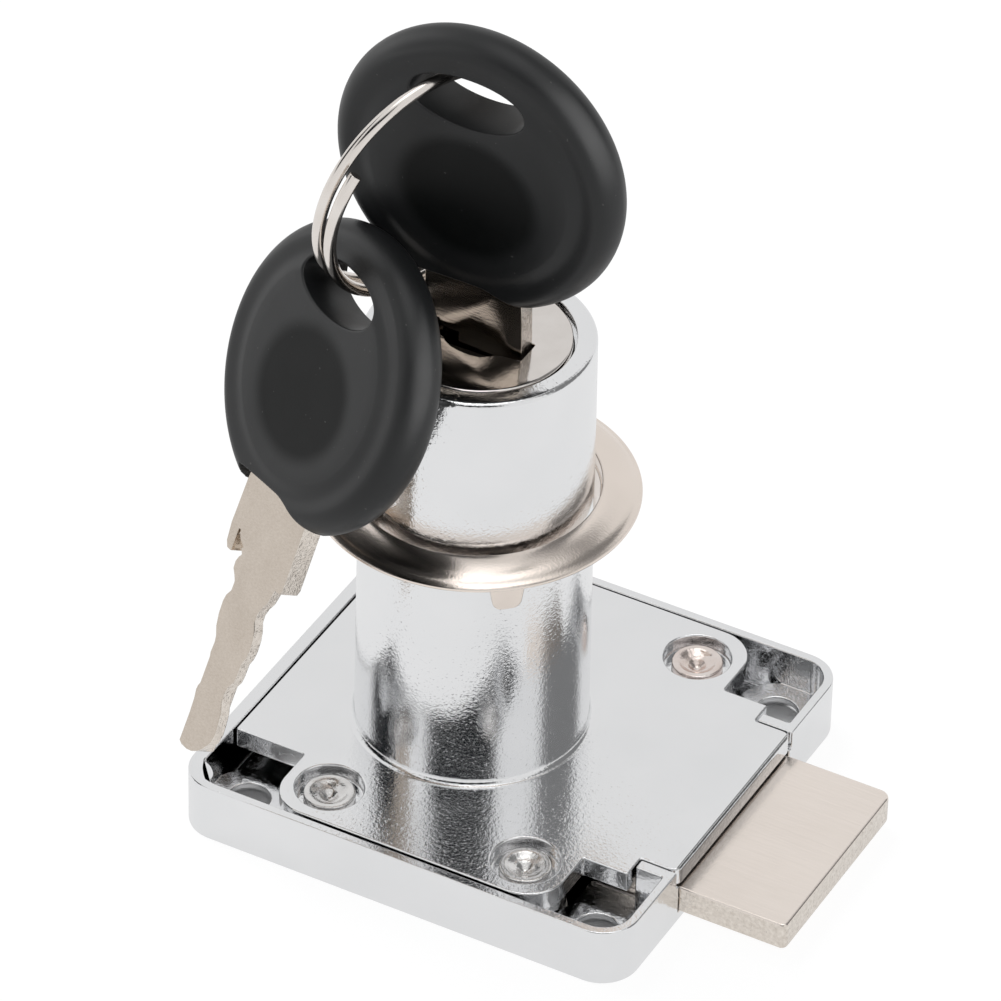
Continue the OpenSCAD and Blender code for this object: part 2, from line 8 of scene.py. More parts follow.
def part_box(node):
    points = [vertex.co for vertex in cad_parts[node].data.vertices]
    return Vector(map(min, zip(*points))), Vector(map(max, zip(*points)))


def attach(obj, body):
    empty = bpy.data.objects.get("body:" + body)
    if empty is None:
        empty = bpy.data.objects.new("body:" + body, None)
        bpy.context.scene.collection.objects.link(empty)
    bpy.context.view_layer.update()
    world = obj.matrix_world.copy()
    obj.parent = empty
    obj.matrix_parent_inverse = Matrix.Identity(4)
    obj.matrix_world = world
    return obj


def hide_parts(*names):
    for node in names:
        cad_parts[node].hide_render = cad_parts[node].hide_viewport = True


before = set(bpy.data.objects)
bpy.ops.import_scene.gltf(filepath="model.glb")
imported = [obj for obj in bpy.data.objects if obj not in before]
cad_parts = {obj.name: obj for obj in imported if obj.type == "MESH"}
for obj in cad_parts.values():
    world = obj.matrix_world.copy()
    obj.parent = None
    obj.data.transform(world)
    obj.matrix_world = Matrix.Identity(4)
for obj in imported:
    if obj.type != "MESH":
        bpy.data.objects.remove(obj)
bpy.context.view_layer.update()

# A drawer lock with its two keys on a split ring. Sizes here are in millimetres, and every
# piece is turned to metres when it is finished.
MM = 0.001
# how far a cutter reaches past what it cuts
PAST = 1
# room between parts that fit each other
PLAY = 0.1
# rounding of the edges of thin and cut parts
FINE_EDGE = 0.08


def box_mm(node):
    """Lowest and highest corner of a CAD node, in millimetres."""
    low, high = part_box(node)
    return low / MM, high / MM


# places that the frame gives
TRAY_LOW, TRAY_HIGH = box_mm("tray")
PLATE_LOW, PLATE_HIGH = box_mm("barrel_plate")
BOLT_LOW, BOLT_HIGH = box_mm("bolt")
CAP_LOW, CAP_HIGH = box_mm("plug_cap")
TRIM_LOW, TRIM_HIGH = box_mm("trim_ring")
KEY_LOW, KEY_HIGH = box_mm("key_1_bow")
KEEPER_LOW, KEEPER_HIGH = box_mm("retainer")
WAFER_NUMBERS = range(1, 8)
WAFERS = [box_mm(f"wafer_{i}") for i in WAFER_NUMBERS]
MIDDLE_Y = (TRAY_LOW.y + TRAY_HIGH.y) / 2
RIM_Z = TRAY_HIGH.z

# tray
WALL = 0.8
LEFT_WALL = 1.2
FLOOR = 0.8
CORNER = 3.2
HOLE_INSET = 4.15
HOLE_R = 1.75
SINK_R = 3.1
BOSS_R = 3.6
BOSS_H = 1.9
STUD_INSET_X = 11.1
STUD_INSET_Y = 5.0
STUD_R = 1.6
STUD_HEAD_R = 2.1
STUD_HEAD_DROP = 0.4
POST_R = 3.3
CORNER_POST_R = 2.1
CORNER_POST_OUT = 0.4
RIM_SKIN = 0.3
RIB_LENGTH = 3.2
RIB_HALF = 9.95
RIB = 1.0
GUIDE = 0.9
OPENING_HALF = 9.55
TRAY_EDGE = 0.14

# cover plate and barrel
PLATE_THICK = 1.9
TONGUE_THICK = 1.65
TONGUE_CORNER = 0.8
TONGUE_HALF = 9.8
TONGUE_CREST = 0.3
RELIEF_X = 12
PLATE_EDGE = 0.16
GAP = 0.15
FRONT_GAP = 0.3
POCKET_X = 7.3
POCKET_Y = 7.6
LOBE = 3.3
COUNTERBORE_R = 2.8
COUNTERBORE_DEEP = 1.2
BARREL_FOOT_R = 9.5
BARREL_MOUTH_R = 9.25
BARREL_SUNK = 0.2
BORE_R = 7.46
MOUTH_R = 7.64
MOUTH_EDGE = 0.45
BORE_EDGE = 0.1
FOOT_FILLET = 0.6
FILLET_SUNK = 0.005
WAFER_GROOVE_R = 8.35
WAFER_SIDE_ROOM = 0.3
WAFER_END_ROOM = 0.7

# bolt and cap
NOSE_R = 0.55
BLUNT_NOSE_R = 1.0
TAIL_R = 1.2
CRANK_R = 4.7
YOKE_HALF_X = 2.39
YOKE_HALF_Y = 6.2
BOLT_EDGE = 0.24
CAP_EDGE = 0.25

# trim ring: its sheet, bore and spring tongues, and drops below its crown
SHEET = 0.5
TRIM_INNER_R = 9.95
TRIM_EDGE_R = 13.15
BRIM_DROP = 1.0
COLLAR_DROP = 2.15
SPRING_TURNS = (-47, 43, 133, 223)
SPRING_HALF = 1.8
SPRING_TIP_R = 0.75
SPRING_TIP_HALF = 0.45
SPRING_SHEET = 0.4
SPRING_TOP_DROP = 0.2
FOLD_R = 0.2

# keys: places in a bow's own frame, x across, y along the blade, z through the thickness
BOW_R = 12.35
FIELD_H = 2.25
SLOT_A = 4.95
SLOT_B = 2.15
SLOT_X = -0.25
SLOT_Y = 7.0
GROOVE_START = 8.3
GROOVE_R = 9.8
GROOVE_H = 1.96
BEAD_R = 10.7
BEAD_H = 2.02
RIM_POWER = 0.55
OVAL_A = 6.0
OVAL_B = 5.4
OVAL_Y = -1.6
OVAL_DEEP = 0.06
OVAL_FROM = 0.84
OVAL_FADE = 0.28
EDGE_ROUND = 0.2
NECK_Y = -10.0
NECK_HALF = 4.65
NECK_CORNER = 0.5
NECK_FALL = 0.6
NECK_END = 5.6
NECK_END_Y = -math.sqrt(BOW_R ** 2 - NECK_END ** 2)
RIM_STEPS = 150
RINGS_FROM = 8.5
RING_STEP = 0.18
NOTCH_ROOM = 0.5
ROWS = (0.03, 0.09, 0.16, 0.24, 0.33, 0.45, 0.7)
ROW_ROOM = 0.1
NEAR_SLOT = 0.5
SLOT_ROOM = ROWS[-1] + 0.02

# the seated key's place, and the spare key's beside it
KEY_1_AT = Vector(((KEY_LOW.x + KEY_HIGH.x) / 2, 0, KEY_HIGH.z - BOW_R))
KEY_2_AT = KEY_1_AT + Vector((-7.45, -9.85, -16.6))
KEY_2_TURN = (-25.05, -4.95, -28.9)

# blades: shoulders, tip, ear, and the line outside which a blade is half as thick
BLADE = 1.8
SHOULDER = -17.0
TIP = -32.95
EAR_X = -3.1
STEP_X = 1.2

# split ring: its wire starts at this angle and runs back through the span, with this much
# between its turns
RING_AT = KEY_1_AT + Vector((-4.3, -0.35, -2.55))
RING_TURN = (0, 80.6, 158.6)
RING_R = 10.3
WIRE_R = 0.5
RING_START = 122
RING_SPAN = 640
RING_PITCH = 1.45
RING_LEVEL_TURN = 0.59


def placed(at, turn):
    """Matrix that turns about X, then Y, then Z, and then moves to a place."""
    angles = [math.radians(a) for a in turn]
    return Matrix.Translation(at) @ Euler(angles, "XYZ").to_matrix().to_4x4()


# turns (across, along, thickness) so that the thickness lies along -Y
UPRIGHT = Matrix(((1, 0, 0, 0), (0, 0, -1, 0), (0, 1, 0, 0), (0, 0, 0, 1)))
# turns X, Y and Z into Y, Z and X
SIDEWAYS = Matrix(((0, 0, 1, 0), (1, 0, 0, 0), (0, 1, 0, 0), (0, 0, 0, 1)))


# Meshes

def arc(x, y, radius, start, end, steps):
    """Points along an arc between two angles in degrees."""
    angles = [math.radians(start + (end - start) * i / steps) for i in range(steps + 1)]
    return [(x + radius * math.cos(a), y + radius * math.sin(a)) for a in angles]


def rounded(x0, y0, x1, y1, radius, steps=14):
    """Outline of a rectangle with round corners."""
    return (arc(x1 - radius, y0 + radius, radius, -90, 0, steps)
            + arc(x1 - radius, y1 - radius, radius, 0, 90, steps)
            + arc(x0 + radius, y1 - radius, radius, 90, 180, steps)
            + arc(x0 + radius, y0 + radius, radius, 180, 270, steps))


def blank(points, faces):
    """An object in millimetres from points and faces."""
    mesh = bpy.data.meshes.new("blank")
    mesh.from_pydata([tuple(p) for p in points], [], faces)
    mesh.update()
    item = bpy.data.objects.new("blank", mesh)
    bpy.context.scene.collection.objects.link(item)
    return item


def prism(outline, z0, z1):
    """A flat outline, drawn anticlockwise, carried from one height to another."""
    n = len(outline)
    points = [(x, y, z0) for x, y in outline] + [(x, y, z1) for x, y in outline]
    sides = [(i, (i + 1) % n, n + (i + 1) % n, n + i) for i in range(n)]
    return blank(points, [tuple(reversed(range(n))), tuple(range(n, 2 * n))] + sides)


def block(x0, x1, y0, y1, z0, z1):
    """A box between two values of each coordinate."""
    return prism([(x0, y0), (x1, y0), (x1, y1), (x0, y1)], z0, z1)


def turned(profile, steps=144, centre=(0, 0)):
    """A closed profile of (radius, height) points, drawn anticlockwise, turned about a vertical
    line. A point on the line itself is one vertex."""
    points = []
    rows = []
    for radius, z in profile:
        if radius < 1e-6:
            points.append((centre[0], centre[1], z))
            rows.append([len(points) - 1] * steps)
            continue
        rows.append(list(range(len(points), len(points) + steps)))
        for i in range(steps):
            a = 2 * math.pi * i / steps
            points.append((centre[0] + radius * math.cos(a), centre[1] + radius * math.sin(a), z))
    faces = []
    for low, high in zip(rows, rows[1:] + rows[:1]):
        for i in range(steps):
            corners = [low[i], low[(i + 1) % steps], high[(i + 1) % steps], high[i]]
            face = list(dict.fromkeys(corners))
            if len(face) > 2:
                faces.append(tuple(face))
    return blank(points, faces)


def settle(item):
    """Applies a blank's modifiers."""
    graph = bpy.context.evaluated_depsgraph_get()
    mesh = bpy.data.meshes.new_from_object(item.evaluated_get(graph))
    item.modifiers.clear()
    item.data = mesh
    return item


def combined(item, others, operation):
    """Adds, cuts or intersects a blank with others, which are used up."""
    for other in others:
        step = item.modifiers.new("step", "BOOLEAN")
        step.operation = operation
        step.solver = "EXACT"
        step.object = other
    settle(item)
    for other in others:
        bpy.data.objects.remove(other)
    return item


def softened(item, width, segments=3, angle=40):
    """Rounds a blank's edges, and keeps its flat faces flat to the eye."""
    for face in item.data.polygons:
        face.use_smooth = True
    step = item.modifiers.new("edges", "BEVEL")
    step.width = width
    step.segments = segments
    step.limit_method = "ANGLE"
    step.angle_limit = math.radians(angle)
    step.use_clamp_overlap = False
    step.miter_outer = "MITER_ARC"
    step.harden_normals = True
    return settle(item)


def joined(item, *others):
    """Puts other blanks' meshes into this one's."""
    with bpy.context.temp_override(active_object=item, selected_editable_objects=[item, *others]):
        bpy.ops.object.join()
    return item


def smoothed(item, angle):
    """Shades a blank smooth, but for edges sharper than this."""
    for face in item.data.polygons:
        face.use_smooth = True
    item.data.set_sharp_from_angle(angle=math.radians(angle))
    return item


def swept(path, radius, sides):
    """A round wire with closed ends along a path, with (along, around) in a UV map."""
    points = []
    faces = []
    uvs = []
    last = len(path) - 1
    tangents = [(path[min(i + 1, last)] - path[max(i - 1, 0)]).normalized() for i in range(last + 1)]
    side = tangents[0].orthogonal().normalized()
    for centre, tangent in zip(path, tangents):
        side = (side - tangent * side.dot(tangent)).normalized()
        up = tangent.cross(side)
        for k in range(sides):
            a = 2 * math.pi * k / sides
            points.append(centre + radius * (math.cos(a) * side + math.sin(a) * up))
    for i in range(last):
        here = i * sides
        for k in range(sides):
            j = (k + 1) % sides
            faces.append((here + k, here + j, here + sides + j, here + sides + k))
            uvs += [(i, k), (i, k + 1), (i + 1, k + 1), (i + 1, k)]
    end = last * sides
    faces += [tuple(reversed(range(sides))), tuple(range(end, end + sides))]
    uvs += [(0, 0)] * (2 * sides)
    item = blank(points, faces)
    layer = item.data.uv_layers.new(name="along")
    length = sum((b - a).length for a, b in zip(path, path[1:])) / last
    for loop, (i, k) in zip(layer.data, uvs):
        loop.uv = (i * length * MM, k / sides)
    return item


def upright_faces(item, limit):
    """Numbers of the faces whose normals rise by less than this."""
    return [face.index for face in item.data.polygons if abs(face.normal.z) < limit]


def piece(item, name, body, node, material, other=None, other_faces=()):
    """Turns a blank into a finished piece in metres, which rides on a CAD body and stands for a
    CAD node. Some of its faces can have another material."""
    item.name = name
    item.data.name = name
    item.data.transform(Matrix.Scale(MM, 4))
    item.data.materials.clear()
    item.data.materials.append(material)
    for face in item.data.polygons:
        face.use_smooth = True
    if other:
        item.data.materials.append(other)
    for number in other_faces:
        item.data.polygons[number].material_index = 1
    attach(item, body)
    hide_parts(node)
    return item


# Materials

def linear(code):
    """An sRGB hex colour as Blender's linear one."""
    parts = [int(code[i:i + 2], 16) / 255 for i in (1, 3, 5)]
    return [c / 12.92 if c <= 0.04045 else ((c + 0.055) / 1.055) ** 2.4 for c in parts] + [1.0]


def per(size):
    """Texture scale for a pattern of this size in millimetres."""
    return 1 / (size * MM)


# places of a colour mix node's two colours and of its result
COLOUR_1 = 6
COLOUR_2 = 7
MIXED = 2


def add(tree, kind, inputs=None, **settings):
    """Adds a node. Settings are its own, and each input takes a value, a socket to link from, or
    a node, which stands for its first output."""
    item = tree.nodes.new(kind)
    for key, value in settings.items():
        setattr(item, key, value)
    for key, value in (inputs or {}).items():
        if isinstance(value, bpy.types.Node):
            value = value.outputs[0]
        if isinstance(value, bpy.types.NodeSocket):
            tree.links.new(value, item.inputs[key])
        else:
            item.inputs[key].default_value = value
    return item


def begun(name):
    """A new material, its empty node tree and the object coordinates in it."""
    material = bpy.data.materials.new(name)
    material.use_nodes = True
    tree = material.node_tree
    tree.nodes.clear()
    return material, tree, add(tree, "ShaderNodeTexCoord").outputs["Object"]


def metal(name, light, dark, rough, grain, height, patch=6.0, mark=0.0, speck=0.0):
    """A metal of two near shades in soft patches of this size. Its roughness varies from rough[0]
    to rough[1], and its grain has this size and height. mark is the depth of fine crossing
    scratches, and speck is the height of sparse pimples. Sizes are in millimetres."""
    material, tree, place = begun(name)
    patches = add(tree, "ShaderNodeTexNoise", {"Vector": place, "Scale": per(patch), "Detail": 4.0})
    peel = add(tree, "ShaderNodeTexNoise", {"Vector": place, "Scale": per(grain), "Detail": 2.5,
               "Roughness": 0.6})
    gloss = add(tree, "ShaderNodeMapRange", {"Value": patches, "From Min": 0.35, "From Max": 0.65,
                "To Min": rough[0], "To Max": rough[1]})
    bump = add(tree, "ShaderNodeBump", {"Height": peel, "Distance": height * MM})
    shade = patches
    if speck:
        # real ones are finer, and would not show
        dots = add(tree, "ShaderNodeTexNoise", {"Vector": place, "Scale": per(0.2), "Detail": 0.5})
        raised = add(tree, "ShaderNodeMapRange", {"Value": dots, "From Min": 0.64, "From Max": 0.8})
        bump = add(tree, "ShaderNodeBump", {"Height": raised, "Distance": speck * MM, "Normal": bump})
    if mark:
        squeeze = add(tree, "ShaderNodeMapping", {"Vector": place, "Rotation": (0.5, 0.3, 0.9),
                      "Scale": (1, 30, 30)})
        lines = add(tree, "ShaderNodeTexNoise", {"Vector": squeeze, "Scale": per(4.0), "Detail": 3.0,
                    "Roughness": 0.6})
        bump = add(tree, "ShaderNodeBump", {"Height": lines, "Distance": mark * MM, "Normal": bump})
        # the scratches also show as streaks of one shade or the other
        streak = add(tree, "ShaderNodeMath", {0: lines, 1: 2.0, 2: -1.0}, operation="MULTIPLY_ADD")
        shade = add(tree, "ShaderNodeMath", {0: streak, 1: patches}, operation="ADD")
    tone = add(tree, "ShaderNodeMix", {"Factor": shade, COLOUR_1: linear(light),
               COLOUR_2: linear(dark)}, data_type="RGBA")
    shader = add(tree, "ShaderNodeBsdfPrincipled", {"Metallic": 1.0, "Roughness": gloss,
                 "Base Color": tone.outputs[MIXED], "Normal": bump})
    add(tree, "ShaderNodeOutputMaterial", {"Surface": shader})
    return material


def chromed_zinc():
    """Chrome plating on die-cast zinc: mirror bright and cool over the casting's fine grain."""
    return metal("chromed_zinc", "#F6F6F7", "#EFF0F1", (0.06, 0.12), 0.28, 0.019, speck=0.008)


def riveted_zinc(name, light, dark):
    """Zinc spread by the riveting tool after plating: dull, with the plating crazed."""
    return metal(name, light, dark, (0.12, 0.24), 0.3, 0.035, patch=1.6)


def rolled_nickel():
    """Nickel plating on rolled steel strip: warm and satin, and nearly the same all over."""
    return metal("rolled_nickel", "#FAF0E8", "#F4EAE1", (0.20, 0.28), 0.35, 0.010, mark=0.002)


def pressed_nickel():
    """Nickel plating on a pressed sheet: warm, half bright, with a slight orange peel."""
    return metal("pressed_nickel", "#F8EDE4", "#EEE3D9", (0.17, 0.24), 0.2, 0.010)


def satin_cap():
    """Nickel plating on a turned and tumbled cap: satin, with faint cloudy spots."""
    return metal("satin_cap", "#EAE5E1", "#DFD9D4", (0.05, 0.11), 0.3, 0.006, patch=1.6)


def key_blank():
    """Nickel plating on a stamped key blank, worn dull by handling, with hairline scratches."""
    return metal("key_blank", "#DBD0C4", "#CBBFB2", (0.07, 0.14), 0.3, 0.005, patch=3.0, mark=0.009)


def sheared_nickel():
    """Nickel plating over a sheared edge: torn, pitted and sparkling."""
    return metal("sheared_nickel", "#FFF8EF", "#CBC0B5", (0.10, 0.20), 0.25, 0.04, patch=0.35,
                 speck=0.03)


def spring_wire():
    """Nickel-plated spring steel wire: bright, with draw lines that run along it."""
    material, tree, place = begun("spring_wire")
    patches = add(tree, "ShaderNodeTexNoise", {"Vector": place, "Scale": per(2.0), "Detail": 3.0})
    along = add(tree, "ShaderNodeTexCoord").outputs["UV"]
    stretch = add(tree, "ShaderNodeMapping", {"Vector": along, "Scale": (per(6.0), 14.0, 1.0)})
    lines = add(tree, "ShaderNodeTexNoise", {"Vector": stretch, "Scale": 1.0, "Detail": 3.0})
    bump = add(tree, "ShaderNodeBump", {"Height": lines, "Distance": 0.012 * MM})
    tone = add(tree, "ShaderNodeMix", {"Factor": patches, COLOUR_1: linear("#F8F3EE"),
               COLOUR_2: linear("#E4DCD5")}, data_type="RGBA")
    shader = add(tree, "ShaderNodeBsdfPrincipled", {"Metallic": 1.0, "Roughness": 0.14,
                 "Base Color": tone.outputs[MIXED], "Normal": bump})
    add(tree, "ShaderNodeOutputMaterial", {"Surface": shader})
    return material


def brass_strip():
    """Rolled brass strip, as stamped."""
    return metal("brass_strip", "#C9A25B", "#B98F4A", (0.25, 0.34), 0.2, 0.003, mark=0.002)


def cast_zinc():
    """Bare die-cast zinc of the plug, greased and dull."""
    return metal("cast_zinc", "#4A4845", "#383633", (0.35, 0.5), 0.3, 0.01)


def moulded_nylon():
    """Black nylon, injection moulded with a fine satin texture, with a few grains of dust on it.
    The bare oval of the face is smoother and darker than the rest."""
    material, tree, place = begun("moulded_nylon")
    oval = add(tree, "ShaderNodeAttribute", attribute_name="oval").outputs["Fac"]
    grain = add(tree, "ShaderNodeTexNoise", {"Vector": place, "Scale": per(0.16), "Detail": 3.0})
    cloud = add(tree, "ShaderNodeTexNoise", {"Vector": place, "Scale": per(5.0), "Detail": 3.0})
    dust = add(tree, "ShaderNodeTexNoise", {"Vector": place, "Scale": per(0.3), "Detail": 0.0})
    dusty = add(tree, "ShaderNodeMapRange", {"Value": dust, "From Min": 0.84, "From Max": 0.88,
                "To Max": 0.12})
    tone = add(tree, "ShaderNodeMix", {"Factor": oval, COLOUR_1: linear("#0F1011"),
               COLOUR_2: linear("#050606")}, data_type="RGBA")
    dusted = add(tree, "ShaderNodeMix", {"Factor": dusty, COLOUR_1: tone.outputs[MIXED],
                 COLOUR_2: linear("#8C8A88")}, data_type="RGBA")
    gloss = add(tree, "ShaderNodeMapRange", {"Value": cloud, "From Min": 0.3, "From Max": 0.7,
                "To Min": 0.36, "To Max": 0.46})
    bump = add(tree, "ShaderNodeBump", {"Height": grain, "Distance": 0.004 * MM})
    shine = add(tree, "ShaderNodeMapRange", {"Value": oval, "To Min": 0.42, "To Max": 0.18})
    shader = add(tree, "ShaderNodeBsdfPrincipled", {"Base Color": dusted.outputs[MIXED],
                 "Specular IOR Level": shine, "Roughness": gloss, "Normal": bump})
    add(tree, "ShaderNodeOutputMaterial", {"Surface": shader})
    return material


CHROME = chromed_zinc()
RIVETED = riveted_zinc("riveted_zinc", "#F4F3F2", "#DAD8D6")
COPPERY = riveted_zinc("riveted_zinc_copper_flush", "#F3EEEB", "#E2CFC5")
NICKEL = rolled_nickel()
TRIM_NICKEL = pressed_nickel()
CAP_NICKEL = satin_cap()
KEY_NICKEL = key_blank()
SHEARED = sheared_nickel()
WIRE = spring_wire()
BRASS = brass_strip()
PLUG_ZINC = cast_zinc()
NYLON = moulded_nylon()


# Base: tray, rivets, cover plate and barrel

def four_places(inset_x, inset_y):
    """Four places this far inside the tray's corners, two on each side of the bolt."""
    xs = (TRAY_LOW.x + inset_x + LEFT_WALL - WALL, TRAY_HIGH.x - inset_x)
    ys = (TRAY_LOW.y + inset_y, TRAY_HIGH.y - inset_y)
    return [(x, y) for x in xs for y in ys]


STUDS = four_places(STUD_INSET_X, STUD_INSET_Y)
HOLES = four_places(HOLE_INSET, HOLE_INSET)


def circle(x, y, radius, steps=72):
    """Outline of a circle."""
    return arc(x, y, radius, 0, 360, steps)[:-1]


def middle_block(x0, x1, half, z0, z1):
    """A box that reaches equally far to both sides of the bolt's line."""
    return block(x0, x1, MIDDLE_Y - half, MIDDLE_Y + half, z0, z1)


def tray():
    """Rear tray: rim, floor, bosses with countersunk holes, posts, ribs and the bolt's opening."""
    x0, y0, z0 = TRAY_LOW
    x1, y1, top = TRAY_HIGH
    body = prism(rounded(x0, y0, x1, y1, CORNER), z0, top)
    inner = (x0 + LEFT_WALL, y0 + WALL, x1 - WALL, y1 - WALL)
    combined(body, [prism(rounded(*inner, CORNER - WALL), FLOOR, top + PAST)], "DIFFERENCE")
    parts = [prism(circle(x, y, BOSS_R), z0, BOSS_H) for x, y in HOLES]
    parts += [prism(circle(x, y, POST_R), z0, top - PLATE_THICK) for x, y in STUDS]
    # the corner posts end inside the rim
    within = rounded(x0 + RIM_SKIN, y0 + RIM_SKIN, x1 - RIM_SKIN, y1 - RIM_SKIN, CORNER - RIM_SKIN)
    for y in (inner[1], inner[3]):
        post = prism(circle(inner[0] - CORNER_POST_OUT, y, CORNER_POST_R), z0, top)
        parts.append(combined(post, [prism(within, z0 - PAST, top + PAST)], "INTERSECT"))
    # on each side of the bolt a rib, and a lower guide under the plate's tongue
    rib_x = x1 - RIB_LENGTH
    for side in (-1, 1):
        for start, thick, height in ((RIB_HALF, RIB, top), (OPENING_HALF, GUIDE, top - TONGUE_THICK)):
            y = MIDDLE_Y + side * (start + thick / 2)
            parts.append(block(rib_x, x1 - WALL / 2, y - thick / 2, y + thick / 2, z0, height))
    combined(body, parts, "UNION")
    cuts = [middle_block(rib_x - PAST, x1 + PAST, OPENING_HALF, FLOOR, top + PAST),
            middle_block(rib_x - PAST, x1 + PAST, RIB_HALF, top - TONGUE_THICK, top + PAST)]
    sink = [(0, z0 - PAST), (SINK_R + PAST, z0 - PAST), (HOLE_R, z0 + SINK_R - HOLE_R),
            (HOLE_R, BOSS_H + PAST), (0, BOSS_H + PAST)]
    cuts += [turned(sink, 72, place) for place in HOLES]
    combined(body, cuts, "DIFFERENCE")
    softened(body, TRAY_EDGE)
    piece(body, "tray_casting", "base", "tray", CHROME)


def rivet(number, place, material):
    """A stud's head, spread by riveting: a flat rim round a dish with a pointed dimple."""
    top = RIM_Z - STUD_HEAD_DROP
    foot = RIM_Z - COUNTERBORE_DEEP
    under = 0.14
    over = 0.16
    profile = [(0, foot - PAST), (STUD_R, foot - PAST), (STUD_R, foot), (STUD_HEAD_R - 0.1, foot)]
    profile += arc(STUD_HEAD_R - under, foot + over, under, -60, 0, 4)
    profile += arc(STUD_HEAD_R - over, top - over, over, 0, 90, 6)
    # the dish and the dimple, as radius and depth
    hollow = [(1.68, 0), (1.55, 0.04), (1.42, 0.13), (1.2, 0.27), (0.95, 0.36), (0.8, 0.39),
              (0.7, 0.45), (0.35, 0.78), (0, 1)]
    profile += [(radius, top - depth) for radius, depth in hollow]
    head = turned(profile, 72, place)
    piece(head, f"rivet_{number}", "base", "tray", material)


def plate_outline():
    """Outline of the cover plate, with a pocket at each corner and round lobes beside the pockets."""
    x0 = TRAY_LOW.x + LEFT_WALL + GAP
    y0 = TRAY_LOW.y + WALL + FRONT_GAP
    y1 = TRAY_HIGH.y - WALL - GAP
    left = TRAY_LOW.x + POCKET_X + LEFT_WALL - WALL
    right = TRAY_HIGH.x - POCKET_X
    low = TRAY_LOW.y + POCKET_Y
    high = TRAY_HIGH.y - POCKET_Y
    step = TRAY_HIGH.x - RIB_LENGTH - GAP
    tip_x = TRAY_HIGH.x - TONGUE_CORNER
    tip_y = TONGUE_HALF - TONGUE_CORNER
    front = ([(step, low), (step, MIDDLE_Y - TONGUE_HALF)]
             + arc(tip_x, MIDDLE_Y - tip_y, TONGUE_CORNER, -90, 0, 8)
             + arc(tip_x, MIDDLE_Y + tip_y, TONGUE_CORNER, 0, 90, 8)
             + [(step, MIDDLE_Y + TONGUE_HALF), (step, high)])
    return ([(x0, low), (left, low)] + arc(left + LOBE, y0 + LOBE, LOBE, 180, 270, 20)
            + arc(right - LOBE, y0 + LOBE, LOBE, -90, 0, 20) + [(right, low)] + front
            + [(right, high)] + arc(right - LOBE, y1 - LOBE, LOBE, 0, 90, 20)
            + arc(left + LOBE, y1 - LOBE, LOBE, 90, 180, 20) + [(left, high), (x0, high)])


def barrel():
    """Barrel with its bore, its foot's fillet, and grooves in the bore for retainer and wafers."""
    mouth = PLATE_HIGH.z
    bed = PLATE_LOW.z + BARREL_SUNK
    fillet_r = BARREL_FOOT_R + FOOT_FILLET
    groove_r = max(KEEPER_HIGH.x, -KEEPER_LOW.x, KEEPER_HIGH.y, -KEEPER_LOW.y) + PLAY
    groove_low = KEEPER_LOW.z - PLAY
    groove_high = KEEPER_HIGH.z + PLAY
    profile = [(BORE_R, bed), (BORE_R, groove_low), (groove_r, groove_low), (groove_r, groove_high),
               (BORE_R, groove_high), (BORE_R, CAP_LOW.z), (MOUTH_R, CAP_LOW.z)]
    profile += arc(MOUTH_R + BORE_EDGE, mouth - BORE_EDGE, BORE_EDGE, 180, 90, 4)
    profile += arc(BARREL_MOUTH_R - MOUTH_EDGE, mouth - MOUTH_EDGE, MOUTH_EDGE, 90, 0, 10)
    profile += arc(fillet_r, RIM_Z + FOOT_FILLET - FILLET_SUNK, FOOT_FILLET, 180, 270, 10)
    profile += [(fillet_r, bed)]
    body = turned(profile, 192)
    low = min(box[0].z for box in WAFERS) - WAFER_END_ROOM
    high = max(box[1].z for box in WAFERS) + WAFER_END_ROOM
    half = max(box[1].y for box in WAFERS) + WAFER_SIDE_ROOM
    channel = prism(circle(0, 0, WAFER_GROOVE_R, 96), low, high)
    across = WAFER_GROOVE_R + PAST
    band = block(-across, across, -half, half, low - PAST, high + PAST)
    combined(body, [combined(channel, [band], "INTERSECT")], "DIFFERENCE")
    return smoothed(body, 50)


def cover_and_barrel():
    """Cover plate and barrel in one casting."""
    top = RIM_Z
    low = PLATE_LOW.z
    front = TRAY_HIGH.x
    plate = prism(plate_outline(), low, top)
    cuts = [prism(circle(0, 0, BORE_R, 144), low - PAST, top + PAST)]
    cuts.append(middle_block(RELIEF_X, front + PAST, TONGUE_HALF + PLAY, low - PAST,
                             top - TONGUE_THICK))
    for x, y in STUDS:
        cuts.append(prism(circle(x, y, COUNTERBORE_R), top - COUNTERBORE_DEEP, top + PAST))
        cuts.append(prism(circle(x, y, STUD_R + PLAY), low - PAST, top))
    # the tongue's front edge is well rounded
    crest_x = front - TONGUE_CREST
    crest_z = top - TONGUE_CREST
    corner = [(top + PAST, crest_x), (top + PAST, front + PAST), (crest_z, front + PAST)]
    corner += arc(crest_z, crest_x, TONGUE_CREST, 90, 0, 10)
    reach = TONGUE_HALF + PAST
    rounding = prism(corner, MIDDLE_Y - reach, MIDDLE_Y + reach)
    rounding.data.transform(SIDEWAYS @ SIDEWAYS)
    cuts.append(rounding)
    combined(plate, cuts, "DIFFERENCE")
    softened(plate, PLATE_EDGE)
    joined(plate, barrel())
    piece(plate, "cover_and_barrel", "base", "barrel_plate", CHROME)


# Bolt, cap and trim ring

